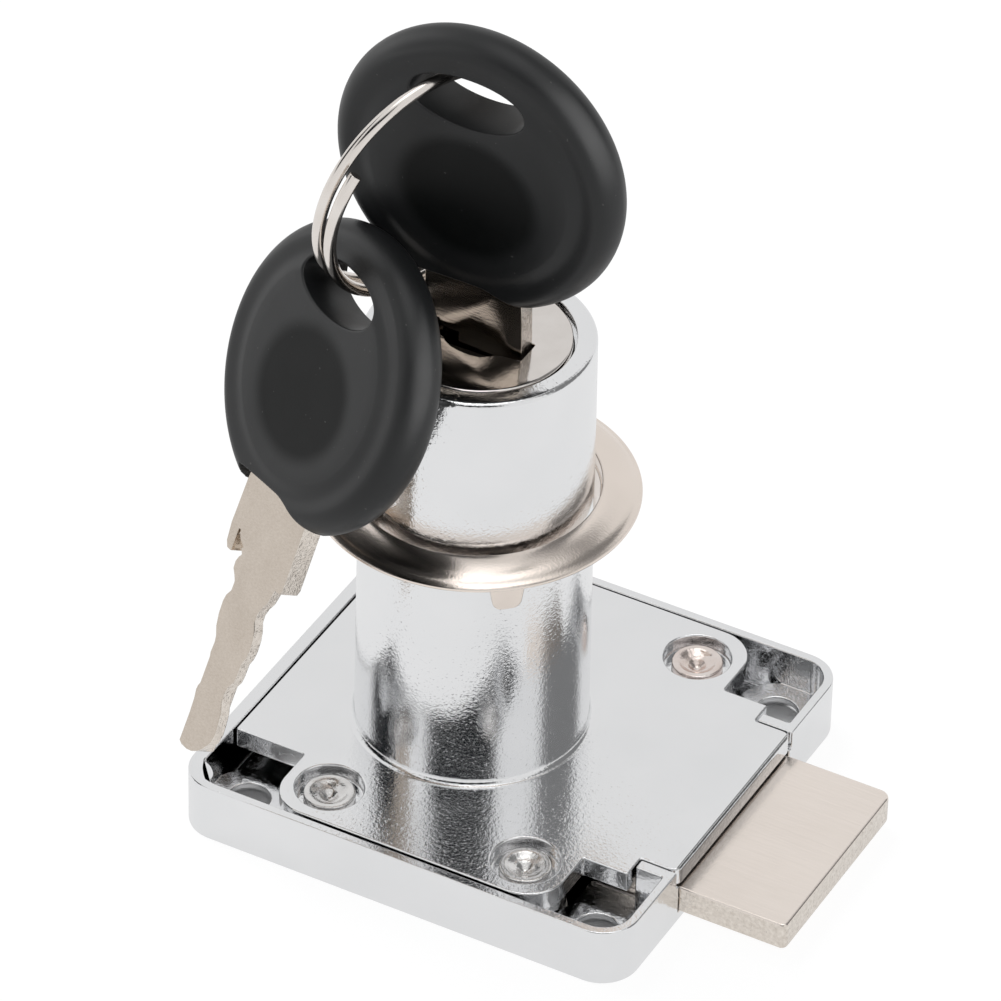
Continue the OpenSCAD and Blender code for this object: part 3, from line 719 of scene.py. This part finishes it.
def bolt():
    """Flat bolt with rounded edges and the slot that the plug's pin drives."""
    x0, y0, low = BOLT_LOW
    x1, y1, high = BOLT_HIGH
    # one corner of the nose is rounder than the other
    outline = (arc(x1 - NOSE_R, y0 + NOSE_R, NOSE_R, -90, 0, 12)
               + arc(x1 - BLUNT_NOSE_R, y1 - BLUNT_NOSE_R, BLUNT_NOSE_R, 0, 90, 14)
               + arc(x0 + TAIL_R, y1 - TAIL_R, TAIL_R, 90, 180, 8)
               + arc(x0 + TAIL_R, y0 + TAIL_R, TAIL_R, 180, 270, 8))
    body = prism(outline, low, high)
    slot = block(CRANK_R - YOKE_HALF_X, CRANK_R + YOKE_HALF_X, -YOKE_HALF_Y, YOKE_HALF_Y,
                 low - PAST, high + PAST)
    combined(body, [slot], "DIFFERENCE")
    softened(body, BOLT_EDGE, 4)
    piece(body, "flat_bolt", "bolt", "bolt", NICKEL, SHEARED, upright_faces(body, 0.5))


def plug_cap():
    """Face cap of the plug with its key slot."""
    r = (CAP_HIGH.x - CAP_LOW.x) / 2
    profile = [(0, CAP_LOW.z), (r, CAP_LOW.z)]
    profile += arc(r - CAP_EDGE, CAP_HIGH.z - CAP_EDGE, CAP_EDGE, 0, 90, 6) + [(0, CAP_HIGH.z)]
    cap = turned(profile)
    # the slot's front edge bulges in the middle
    slot = [(4.4, 1.0), (-4.65, 1.1), (-4.65, -1.5), (-2.7, -1.5), (-2.3, -1.62), (-1.9, -2.0),
            (-1.2, -2.4), (-0.4, -2.58), (0.6, -2.65), (1.4, -2.52), (2.0, -2.05), (2.35, -1.7),
            (2.8, -1.5), (4.4, -1.35)]
    combined(cap, [prism(slot, CAP_LOW.z - PAST, CAP_HIGH.z + PAST)], "DIFFERENCE")
    softened(cap, FINE_EDGE, 2, 60)
    piece(cap, "face_cap", "plug", "plug_cap", CAP_NICKEL)


def spring_tongue(angle, brim):
    """A tongue of the trim ring, cut out of a tube and tapered to a round tip."""
    inner = TRIM_INNER_R - PLAY
    outer = TRIM_INNER_R + SPRING_SHEET
    foot = TRIM_LOW.z
    top = brim - SPRING_TOP_DROP
    tube = turned([(inner, foot - PAST), (outer, foot - PAST), (outer, top), (inner, top)], 192)
    tip_z = foot + SPRING_TIP_R
    outline = ([(SPRING_HALF, brim), (-SPRING_HALF, brim)]
               + arc(-SPRING_TIP_HALF, tip_z, SPRING_TIP_R, -170, -90, 8)
               + arc(SPRING_TIP_HALF, tip_z, SPRING_TIP_R, -90, -10, 8))
    cutter = prism(outline, 0, 2 * TRIM_EDGE_R)
    cutter.data.transform(Matrix.Rotation(math.radians(angle), 4, "Z") @ SIDEWAYS)
    return softened(combined(tube, [cutter], "INTERSECT"), FINE_EDGE, 2)


def trim_ring():
    """Pressed trim ring: collar, rolled crown, sloping flange and four spring tongues."""
    top = TRIM_HIGH.z
    low = top - COLLAR_DROP
    brim = top - BRIM_DROP
    inner = TRIM_INNER_R
    # the crown and the flange, as radius and drop, on the sheet's two faces
    above = [(10.5, 0.03), (11.0, 0.12), (11.6, 0.28), (12.15, 0.48), (12.6, 0.72), (12.9, 0.98)]
    below = [(12.1, 0.48), (11.5, 0.27), (11.0, 0.12), (inner + SHEET + 0.2, 0.08)]
    profile = [(inner, low), (inner, top - FOLD_R)]
    profile += arc(inner + FOLD_R, top - FOLD_R, FOLD_R, 165, 95, 4)
    profile += [(radius, top - drop) for radius, drop in above]
    profile += arc(TRIM_EDGE_R - FOLD_R, brim - 0.1, FOLD_R, 30, -90, 6) + [(12.6, brim - 0.24)]
    profile += [(radius, top - drop - SHEET) for radius, drop in below]
    profile += [(inner + SHEET, top - SHEET - 0.3), (inner + SHEET, low)]
    ring = smoothed(turned(list(reversed(profile)), 192), 60)
    joined(ring, *[spring_tongue(angle, brim) for angle in SPRING_TURNS])
    piece(ring, "trim_ring_pressing", "trim_ring", "trim_ring", TRIM_NICKEL)


# Keys

def eased(t):
    """A smooth rise from 0 to 1 as t goes from 0 to 1."""
    t = min(max(t, 0.0), 1.0)
    return t * t * (3 - 2 * t)


def bow_height(radius):
    """Half thickness of the bow this far from its middle: field, groove, bead and round rim."""
    if radius < GROOVE_R:
        fall = eased((radius - GROOVE_START) / (GROOVE_R - GROOVE_START))
        return FIELD_H + (GROOVE_H - FIELD_H) * fall
    if radius < BEAD_R:
        return GROOVE_H + (BEAD_H - GROOVE_H) * eased((radius - GROOVE_R) / (BEAD_R - GROOVE_R))
    share = (radius - BEAD_R) / (BOW_R - BEAD_R)
    return BEAD_H * max(0.0, 1 - share * share) ** RIM_POWER


def oval_mask(x, y):
    """1 in the shallow oval of the face, 0 outside it."""
    reach = math.hypot(x / OVAL_A, (y - OVAL_Y) / OVAL_B)
    return 1 - eased((reach - OVAL_FROM) / OVAL_FADE)


def slot_ring(distance, count=96):
    """Points round the slot at this distance from its wall."""
    points = []
    for i in range(count):
        a = 2 * math.pi * i / count
        nx = SLOT_B * math.cos(a)
        ny = SLOT_A * math.sin(a)
        n = math.hypot(nx, ny)
        points.append((SLOT_X + SLOT_A * math.cos(a) + distance * nx / n,
                       SLOT_Y + SLOT_B * math.sin(a) + distance * ny / n))
    return points


def in_slot(x, y):
    """Whether a point of the face lies in the slot, and not on its wall."""
    return math.hypot((x - SLOT_X) / SLOT_A, (y - SLOT_Y) / SLOT_B) < 0.9995


def neck_y(x):
    """Height of the neck's edge: level over the blade, and falling to the rim on one side."""
    return NECK_Y + (NECK_END_Y - NECK_Y) * eased((x - NECK_FALL) / (NECK_END - NECK_FALL))


def bow_outline():
    """Edge of the bow seen flat: the neck where the blade leaves it, and the circle of the rim."""
    drop = -math.sqrt(BOW_R ** 2 - NECK_HALF ** 2)
    corner_x = NECK_CORNER - NECK_HALF
    corner_y = NECK_Y - NECK_CORNER
    notch = [(-NECK_HALF, drop + (corner_y - drop) * i / 4) for i in range(5)]
    notch += arc(corner_x, corner_y, NECK_CORNER, 180, 90, 5)[1:]
    edge = [corner_x + (NECK_END - corner_x) * i / 24 for i in range(1, 25)]
    notch += [(x, neck_y(x)) for x in edge]
    start = math.degrees(math.atan2(NECK_END_Y, NECK_END))
    finish = 360 + math.degrees(math.atan2(drop, -NECK_HALF))
    rim = arc(0, 0, BOW_R, start, finish, RIM_STEPS)[1:-1]
    return notch, rim, (start, finish)


def segment_distance(x, y, path):
    """Distance from a point to an open path."""
    best = 1e9
    for (ax, ay), (bx, by) in zip(path, path[1:]):
        dx = bx - ax
        dy = by - ay
        size = dx * dx + dy * dy
        t = min(max(((x - ax) * dx + (y - ay) * dy) / size, 0), 1) if size else 0
        best = min(best, math.hypot(x - ax - t * dx, y - ay - t * dy))
    return best


def in_notch(x, y):
    """Whether a point lies below the neck's edge, where the blade leaves the bow."""
    return -NECK_HALF < x < NECK_END and y < neck_y(x)


def face_points(start, finish):
    """Points in rings over the face, closer together over its relief. Rings near the rim have
    their points in line with the rim's own, which run between these two angles."""
    points = []
    for radius in (2, 4, 6, 7.5):
        points += arc(0, 0, radius, 0, 352.5, 47)
    radii = [RINGS_FROM + RING_STEP * i for i in range(14)]
    radii += [BEAD_R + (BOW_R - BEAD_R) * math.sin(math.radians(a)) for a in range(8, 90, 7)]
    for radius in radii:
        points += arc(0, 0, radius, start, finish, RIM_STEPS)[1:-1]
        points += arc(0, 0, radius, finish - 360, start, 20)
    for share in (0.8, 0.86, 0.92, 0.98, 1.04, 1.1, 1.16):
        points += [(share * OVAL_A * x, OVAL_Y + share * OVAL_B * y) for x, y in circle(0, 0, 1)]
    return points


def neck_points():
    """Rows of points beside the neck's edge."""
    points = []
    for d in ROWS[:5]:
        points += [(-NECK_HALF - d, y) for y in (-11.2, -10.9, -10.6, -10.3)]
        points += arc(NECK_CORNER - NECK_HALF, NECK_Y - NECK_CORNER, NECK_CORNER + d, 180, 90, 8)
        points += [(x * 0.2, neck_y(x * 0.2) + d) for x in range(-20, 28)]
    return [p for p in points if math.hypot(*p) < BOW_R - 0.05]


def bow_plan():
    """The bow seen flat and cut into triangles: their corners' places, the triangles, and the
    paths of the slot's wall and the neck's edge."""
    notch, rim, (start, finish) = bow_outline()
    outline = notch + rim
    slot = slot_ring(0)
    slot_wall = slot + slot[:1]
    edges = [(i, (i + 1) % len(outline)) for i in range(len(outline))]
    edges += [(len(outline) + i, len(outline) + (i + 1) % len(slot)) for i in range(len(slot))]
    # rows of points follow the rounded edges of the slot and of the neck, and the rings over the
    # face keep clear of them. Only the rows nearest to the slot run on among the rings.
    flat = outline + slot
    for p in [p for d in ROWS for p in slot_ring(d)]:
        if math.hypot(*p) < RINGS_FROM - ROW_ROOM or segment_distance(*p, slot) < NEAR_SLOT:
            flat.append(p)
    flat += neck_points()
    for p in face_points(start, finish):
        if in_notch(*p) or segment_distance(*p, notch) < NOTCH_ROOM:
            continue
        if in_slot(*p) or segment_distance(*p, slot_wall) < SLOT_ROOM:
            continue
        flat.append(p)
    verts, _, triangles, *_ = delaunay_2d_cdt([Vector(p) for p in flat], edges, [], 0, 1e-5)
    verts = [(v.x, v.y) for v in verts]

    def inside(face):
        x = sum(verts[i][0] for i in face) / len(face)
        y = sum(verts[i][1] for i in face) / len(face)
        return math.hypot(x, y) < BOW_R and not in_notch(x, y) and not in_slot(x, y)

    return verts, [face for face in triangles if inside(face)], slot_wall, notch


def bow(number, matrix):
    """A key's moulded bow: its flat plan, raised on both faces and closed round the rims."""
    verts, triangles, slot_wall, notch = bow_plan()

    def height(x, y):
        h = bow_height(math.hypot(x, y)) - OVAL_DEEP * oval_mask(x, y)
        gap = min(segment_distance(x, y, slot_wall), segment_distance(x, y, notch))
        if gap < EDGE_ROUND:
            h -= EDGE_ROUND - math.sqrt(max(0.0, EDGE_ROUND ** 2 - (EDGE_ROUND - gap) ** 2))
        return max(h, 0.0)

    heights = [height(x, y) for x, y in verts]
    # a point lies once on the front face and once on the back face, but where the two meet on
    # the rim it is one point
    back = [i if heights[i] < 1e-3 else len(verts) + i for i in range(len(verts))]
    points = [Vector((x, y, h)) for (x, y), h in zip(verts, heights)]
    points += [Vector((x, y, -h)) for (x, y), h in zip(verts, heights)]
    faces = [tuple(face) for face in triangles]
    faces += [tuple(back[i] for i in reversed(face)) for face in triangles]
    # an edge that only one triangle has is on a rim, and gets a wall between the two faces
    sides = dict.fromkeys(pair for face in triangles for pair in zip(face, face[1:] + face[:1]))
    for a, b in sides:
        wall = list(dict.fromkeys([b, a, back[a], back[b]]))
        if (b, a) not in sides and len(wall) > 2:
            faces.append(tuple(wall))
    item = blank([matrix @ UPRIGHT @ p for p in points], faces)
    mask = item.data.attributes.new("oval", "FLOAT", "POINT")
    mask.data.foreach_set("value", [oval_mask(x, y) for x, y in verts] * 2)
    piece(item, f"key_{number}_nylon_bow", f"key_{number}", f"key_{number}_bow", NYLON)
    BOWS.objects.link(item)


def blade_outline():
    """Outline of a blade: tang, shoulders, an ear with a slit on one side, and both cut edges."""
    right = [(3, -3), (3, -10), (4.25, -10), (4.35, -16.5), (4.15, SHOULDER), (3.45, SHOULDER),
             (3.3, -17.7), (3.1, -18.4), (2.7, -19.0), (2.45, -19.7), (2.5, -20.3), (2.85, -20.9),
             (3.05, -21.6), (3.12, -22.6), (3.0, -23.3), (2.72, -23.9), (2.7, -25.0), (2.6, -25.6),
             (2.15, -26.3), (2.0, -26.9), (2.1, -27.6), (2.45, -28.4), (2.6, -29.3), (2.68, -30.2),
             (2.5, -31.0), (2.15, -31.5)]
    tip = [(1.75, TIP + 0.95), (1.3, TIP + 0.55), (0.6, TIP + 0.15), (0, TIP), (-0.8, TIP),
           (-1.5, TIP + 0.3), (-1.95, TIP + 0.8)]
    left = [(-2.15, -31.4), (-2.3, -30.6), (-2.35, -29.6), (-2.5, -28.9), (-2.45, -28.5),
            (-2.2, -28.0), (-2.2, -26.1), (-2.4, -25.5), (-2.35, -24.6), (-2.45, -24.1),
            (-2.85, -23.4), (-3.08, -22.4), (-3.13, -21.3), (-3.0, -20.7), (-2.6, -20.1),
            (-2.6, -19.3), (-2.9, -18.9), (-3.3, -18.5), (-3.35, -17.9), (-3.15, -17.4),
            (-2.75, SHOULDER), (-2.95, -15), (-3.25, -15), (-3.25, SHOULDER), (-3.8, SHOULDER),
            (-4.15, -16.5), (-4.35, -15), (-4.25, -10), (-3, -10), (-3, -3)]
    return list(reversed(right + tip + left))


def blade(number, matrix):
    """A key's blade with its half-thick steps on opposite faces and its sheared edges."""
    body = prism(blade_outline(), -BLADE / 2, BLADE / 2)
    # the step that shows ends in the slope that the cutter leaves, beside the ear
    end = TIP - PAST
    wide = 9
    slope = [(SHOULDER + 1.9, 2), (end, 2), (end, 0), (SHOULDER - 0.3, 0), (SHOULDER + 1.9, 0.95)]
    step = prism(slope, -wide, -STEP_X)
    step.data.transform(SIDEWAYS)
    combined(step, [block(-wide - PAST, EAR_X, SHOULDER - 0.05, 0, -3, 3)], "DIFFERENCE")
    combined(body, [step, block(STEP_X, wide, end, SHOULDER, -2, 0)], "DIFFERENCE")
    softened(body, FINE_EDGE, 3, 30)
    edges = upright_faces(body, 0.35)
    body.data.transform(matrix @ UPRIGHT)
    piece(body, f"key_{number}_cut_blade", f"key_{number}", f"key_{number}_blade",
          KEY_NICKEL, SHEARED, edges)


def key_ring():
    """Split ring: one wire wound in nearly two turns."""
    matrix = placed(RING_AT, RING_TURN)
    path = []
    steps = 320
    for i in range(steps + 1):
        travel = RING_SPAN * i / steps
        a = math.radians(RING_START - travel)
        level = RING_PITCH * (travel / 360 - RING_LEVEL_TURN)
        path.append(matrix @ Vector((RING_R * math.cos(a), RING_R * math.sin(a), level)))
    ring = swept(path, WIRE_R, 20)
    softened(ring, FINE_EDGE, 2, 60)
    piece(ring, "split_ring", "key_ring", "key_ring", WIRE)


# Camera, floor and light

# the camera's direction from the lock and its distance, and how far it is shifted to the side
# and up as it sees them
CAMERA_AZIMUTH = 27.985
CAMERA_ELEVATION = 38.274
CAMERA_ROLL = 1.346
CAMERA_DISTANCE = 647.95
CAMERA_SIDE = 2.426
CAMERA_RISE = 20.94
FOCAL_PIXELS = 7986.7
IMAGE_PIXELS = 1001
SENSOR = 36
# the floor's half width, and how far inside the tray's edge its plain paint begins
FLOOR_HALF = 3000
PAINT_INSET = 0.5


def camera():
    """The camera at the photograph's angle, aimed by its own axes."""
    a, e, roll = (math.radians(v) for v in (CAMERA_AZIMUTH, CAMERA_ELEVATION, CAMERA_ROLL))
    back = Vector((math.sin(a) * math.cos(e), -math.cos(a) * math.cos(e), math.sin(e)))
    right = Vector((0, 0, 1)).cross(back).normalized()
    up = back.cross(right)
    side = math.cos(roll) * right + math.sin(roll) * up
    rise = math.cos(roll) * up - math.sin(roll) * right
    data = bpy.data.cameras.new("camera")
    data.sensor_width = SENSOR
    data.lens = FOCAL_PIXELS / IMAGE_PIXELS * SENSOR
    item = bpy.data.objects.new("camera", data)
    bpy.context.scene.collection.objects.link(item)
    place = (CAMERA_SIDE * side + CAMERA_RISE * rise + CAMERA_DISTANCE * back) * MM
    item.matrix_world = Matrix.Translation(place) @ Matrix((side, rise, back)).transposed().to_4x4()
    bpy.context.scene.camera = item


def ray_kinds(tree):
    """Masks of the rays that come straight from the camera or through something clear, and of the
    rays that come by way of a mirror."""
    path = add(tree, "ShaderNodeLightPath").outputs
    straight = add(tree, "ShaderNodeMath", {0: path["Is Camera Ray"], 1: path["Is Transmission Ray"]},
                   operation="MAXIMUM")
    return straight, path["Is Glossy Ray"]


def white_floor():
    """White that glows for the camera and in mirrors, with a trace of the object's shadow. Right
    under the lock it is ordinary white paint, dark but for what comes through the holes."""
    material, tree, place = begun("white_floor")
    straight, mirror = ray_kinds(tree)
    shown = add(tree, "ShaderNodeMath", {0: straight, 1: mirror}, operation="MAXIMUM")
    where = add(tree, "ShaderNodeSeparateXYZ", {0: place})
    powers = []
    for axis in (0, 1):
        middle = (TRAY_LOW[axis] + TRAY_HIGH[axis]) / 2
        half = (TRAY_HIGH[axis] - TRAY_LOW[axis]) / 2 - PAINT_INSET
        off = add(tree, "ShaderNodeMath", {0: where.outputs[axis], 1: middle * MM}, operation="SUBTRACT")
        share = add(tree, "ShaderNodeMath", {0: off, 1: half * MM}, operation="DIVIDE")
        far = add(tree, "ShaderNodeMath", {0: share}, operation="ABSOLUTE")
        powers.append(add(tree, "ShaderNodeMath", {0: far, 1: 8.0}, operation="POWER"))
    # where the two eighth powers add up to 1 is a rectangle with round corners
    reach = add(tree, "ShaderNodeMath", {0: powers[0], 1: powers[1]}, operation="ADD")
    outside = add(tree, "ShaderNodeMapRange", {"Value": reach, "From Min": 0.9, "From Max": 1.0})
    glowing = add(tree, "ShaderNodeMath", {0: shown, 1: outside}, operation="MULTIPLY")
    # a mirror shows it a little darker than the camera does
    power = add(tree, "ShaderNodeMapRange", {"Value": straight, "To Min": 0.7, "To Max": 0.9})
    paint = add(tree, "ShaderNodeBsdfDiffuse", {"Color": linear("#F4F4F4")})
    glow = add(tree, "ShaderNodeEmission", {"Color": linear("#FFFFFF"), "Strength": power})
    shadow = add(tree, "ShaderNodeBsdfDiffuse", {"Color": linear("#6E6E6E")})
    both = add(tree, "ShaderNodeAddShader", {0: glow, 1: shadow})
    mix = add(tree, "ShaderNodeMixShader", {0: glowing, 1: paint, 2: both})
    add(tree, "ShaderNodeOutputMaterial", {"Surface": mix})
    return material


def floor():
    """The floor that the tray stands on."""
    far = FLOOR_HALF
    low = TRAY_LOW.z
    item = blank([(-far, -far, low), (far, -far, low), (far, far, low), (-far, far, low)],
                 [(0, 1, 2, 3)])
    item.name = "floor"
    item.data.transform(Matrix.Scale(MM, 4))
    item.data.materials.append(white_floor())


# dark gaps between the soft lights, in degrees round from the camera's side: middle and half width
# of each, from and to which height it reaches, and how dark it is
DARK_GAPS = [(-94, 12, 0.06, 0.84, 1.0), (-9, 28, 0.40, 0.84, 1.0), (98, 23, 0.06, 0.92, 0.75),
             (140, 16, 0.70, 0.93, 0.7)]
# over how many degrees and how much height a gap fades
GAP_FADE = 9
GAP_RISE = 0.1
# how bright the soft lights are in a mirror, and the one overhead, which starts at this height
LIGHT = 0.785
OVERHEAD = 1.7
OVERHEAD_Z = 0.93
OVERHEAD_FADE = 0.05


def studio():
    """White surroundings, with a studio's dark gaps between soft lights for what metal mirrors."""
    world = bpy.data.worlds.new("studio")
    bpy.context.scene.world = world
    world.use_nodes = True
    tree = world.node_tree
    tree.nodes.clear()
    straight, mirror = ray_kinds(tree)
    ray = add(tree, "ShaderNodeTexCoord").outputs["Generated"]
    faced = add(tree, "ShaderNodeVectorRotate", {"Vector": ray,
                "Angle": math.radians(-CAMERA_AZIMUTH)}, rotation_type="Z_AXIS")
    way = add(tree, "ShaderNodeSeparateXYZ", {0: faced}).outputs
    toward = add(tree, "ShaderNodeMath", {0: way["Y"], 1: -1.0}, operation="MULTIPLY")
    around = add(tree, "ShaderNodeMath", {0: way["X"], 1: toward}, operation="ARCTAN2")
    darkness = 0.0
    for middle, half, low, high, depth in DARK_GAPS:
        off = add(tree, "ShaderNodeMath", {0: around, 1: math.radians(middle)}, operation="SUBTRACT")
        away = add(tree, "ShaderNodeMath", {0: off}, operation="ABSOLUTE")
        gap = add(tree, "ShaderNodeMapRange", {"Value": away, "From Min": math.radians(half),
                  "From Max": math.radians(half + GAP_FADE), "To Min": 1.0, "To Max": 0.0},
                  interpolation_type="SMOOTHSTEP")
        below = add(tree, "ShaderNodeMapRange", {"Value": way["Z"], "From Min": high - GAP_RISE,
                    "From Max": high, "To Min": depth, "To Max": 0.0},
                    interpolation_type="SMOOTHSTEP")
        above = add(tree, "ShaderNodeMapRange", {"Value": way["Z"], "From Min": low,
                    "From Max": low + GAP_RISE}, interpolation_type="SMOOTHSTEP")
        band = add(tree, "ShaderNodeMath", {0: below, 1: above}, operation="MULTIPLY")
        dark = add(tree, "ShaderNodeMath", {0: gap, 1: band}, operation="MULTIPLY")
        darkness = add(tree, "ShaderNodeMath", {0: darkness, 1: dark}, operation="MAXIMUM")
    power = add(tree, "ShaderNodeMapRange", {"Value": way["Z"], "From Min": OVERHEAD_Z,
                "From Max": OVERHEAD_Z + OVERHEAD_FADE, "To Min": LIGHT, "To Max": OVERHEAD},
                interpolation_type="SMOOTHSTEP")
    tone = add(tree, "ShaderNodeMix", {"Factor": darkness, COLOUR_1: linear("#FFFFFF"),
               COLOUR_2: linear("#191B1E")}, data_type="RGBA")
    soft = add(tree, "ShaderNodeBackground", {"Color": linear("#F2F3F5"), "Strength": 0.55})
    mirrored = add(tree, "ShaderNodeBackground", {"Color": tone.outputs[MIXED], "Strength": power})
    white = add(tree, "ShaderNodeBackground", {"Color": linear("#FFFFFF")})
    lit = add(tree, "ShaderNodeMixShader", {0: mirror, 1: soft, 2: mirrored})
    seen = add(tree, "ShaderNodeMixShader", {0: straight, 1: lit, 2: white})
    add(tree, "ShaderNodeOutputWorld", {"Surface": seen})


def lamp(name, place, aim, size, power, only=None):
    """A square soft light at a place in millimetres. It shines on diffuse surfaces, or in full but
    only on the pieces of one collection."""
    data = bpy.data.lights.new(name, "AREA")
    data.size = size * MM
    data.energy = power
    item = bpy.data.objects.new(name, data)
    bpy.context.scene.collection.objects.link(item)
    item.location = Vector(place) * MM
    item.rotation_euler = (Vector(aim) - Vector(place)).to_track_quat("-Z", "Y").to_euler()
    if only:
        item.light_linking.receiver_collection = only
    else:
        item.visible_glossy = False


camera()
floor()
studio()
lamp("key_light", (-450, 150, 700), (0, 0, 30), 500, 2.6)
lamp("fill_light", (500, -500, 500), (0, 0, 30), 500, 0.9)
# the black bows get two lights of their own, which would leave squares in the chrome
BOWS = bpy.data.collections.new("bows")
lamp("bow_light_left", (-600, -150, 250), (0, 0, 50), 900, 2.0, BOWS)
lamp("bow_light_right", (600, -80, 250), (0, 0, 50), 900, 6.5, BOWS)

tray()
for number, stud in enumerate(STUDS, 1):
    rivet(number, stud, COPPERY if number == 4 else RIVETED)
cover_and_barrel()
bolt()
plug_cap()
trim_ring()
KEYS = ((1, placed(KEY_1_AT, (0, 0, 0))), (2, placed(KEY_2_AT, KEY_2_TURN)))
for make in (bow, blade):
    for number, matrix in KEYS:
        make(number, matrix)
key_ring()

# the pieces inside keep their CAD meshes
HIDDEN = {"plug": PLUG_ZINC, "retainer": BRASS, "retainer_spring": WIRE}
for number in WAFER_NUMBERS:
    HIDDEN[f"wafer_{number}"] = BRASS
    HIDDEN[f"wafer_spring_{number}"] = WIRE
for name, material in HIDDEN.items():
    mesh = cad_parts[name].data
    mesh.materials.clear()
    mesh.materials.append(material)

bpy.context.scene.view_settings.view_transform = "Standard"
